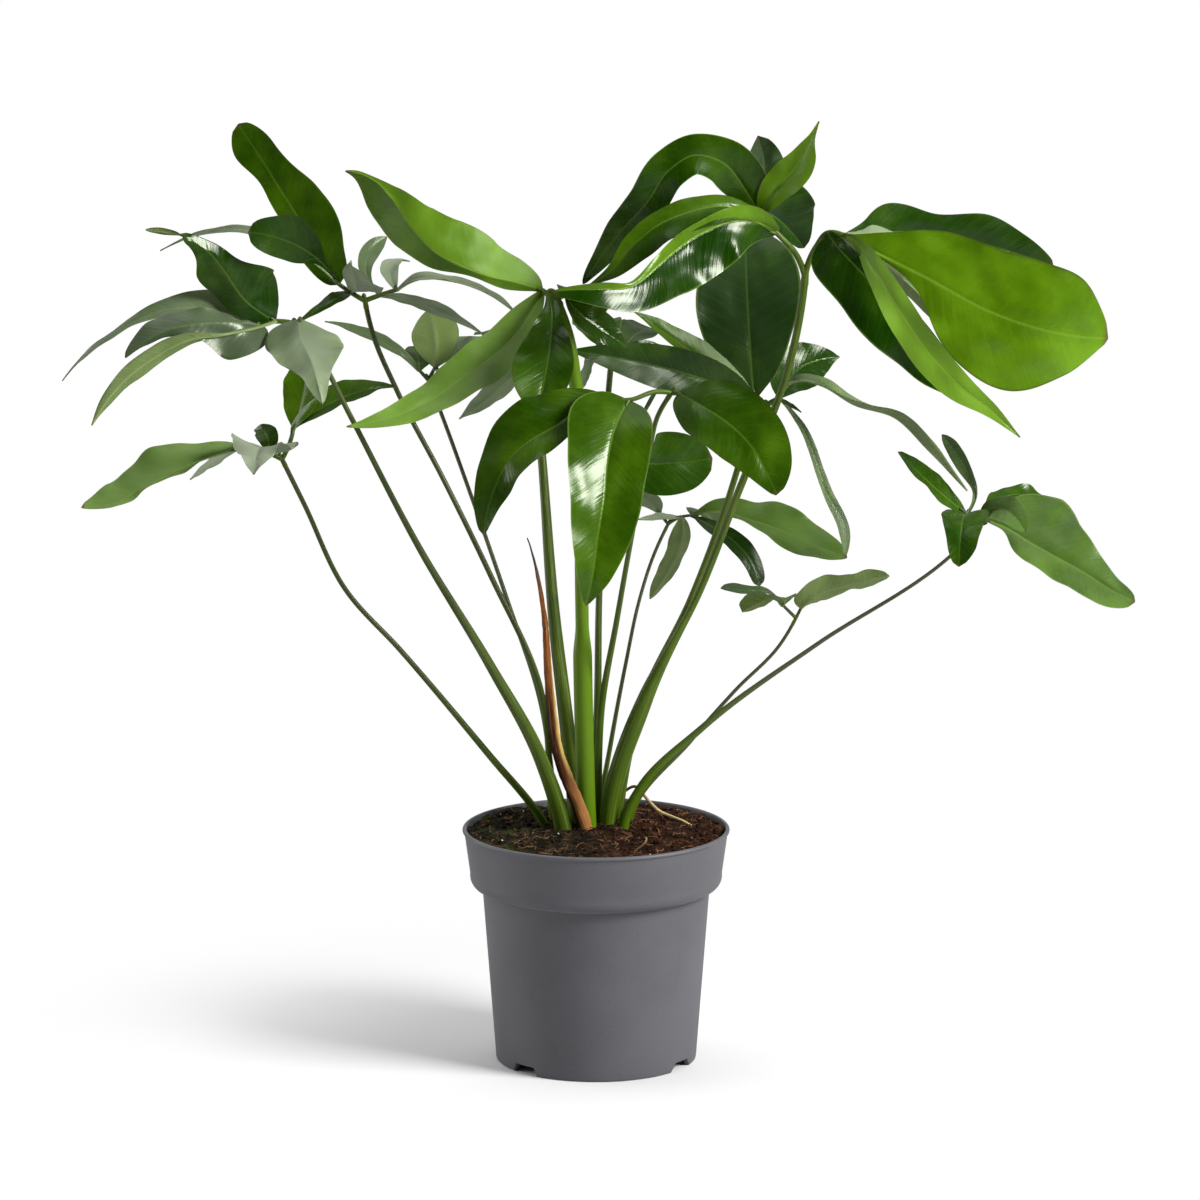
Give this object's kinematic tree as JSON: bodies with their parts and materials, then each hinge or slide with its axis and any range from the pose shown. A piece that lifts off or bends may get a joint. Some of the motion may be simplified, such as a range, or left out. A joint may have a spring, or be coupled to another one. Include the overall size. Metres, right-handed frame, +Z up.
{
  "type": "potted philodendron",
  "caption": "Finger-leaf philodendron in a round nursery pot, with compound leaves on long petioles that spread from the soil.",
  "frame": {"origin": "on the pot's axis at the level of its foot ring, in the middle of the plant's extent", "axes": "+Z up; +X along the plant's widest spread, to the right as seen from the front; -Y is the front"},
  "size_m": [0.6649, 0.3467, 0.6064],
  "materials": {
    "pot": "satin grey moulded plastic",
    "soil": "damp fibrous peat",
    "petiole": "smooth green stalk",
    "leaf": "glossy green leaf",
    "sheath": "dry brown sheath",
    "root": "pale dry root"
  },
  "bodies": {
    "root": {"pot": "pot", "soil": "soil", "petiole_left_low": "petiole", "leaf_left_low": "leaf", "petiole_left_front": "petiole", "leaf_left_front": "leaf", "petiole_left_back": "petiole", "leaf_left_back": "leaf", "petiole_left_small": "petiole", "leaf_left_small": "leaf", "petiole_centre_low": "petiole", "leaf_centre_low": "leaf", "petiole_centre_tall": "petiole", "leaf_centre_tall": "leaf", "petiole_front": "petiole", "leaf_front": "leaf", "petiole_centre_back": "petiole", "leaf_centre_back": "leaf", "petiole_right_mid": "petiole", "leaf_right_mid": "leaf", "petiole_right_tall": "petiole", "leaf_right_tall": "leaf", "petiole_right_back": "petiole", "leaf_right_back": "leaf", "petiole_right_low": "petiole", "leaf_right_low": "leaf", "petiole_right_small": "petiole", "leaf_right_small": "leaf", "dry_sheath": "sheath", "root_arch": "root", "root_front": "root"}
  },
  "joints": []
}
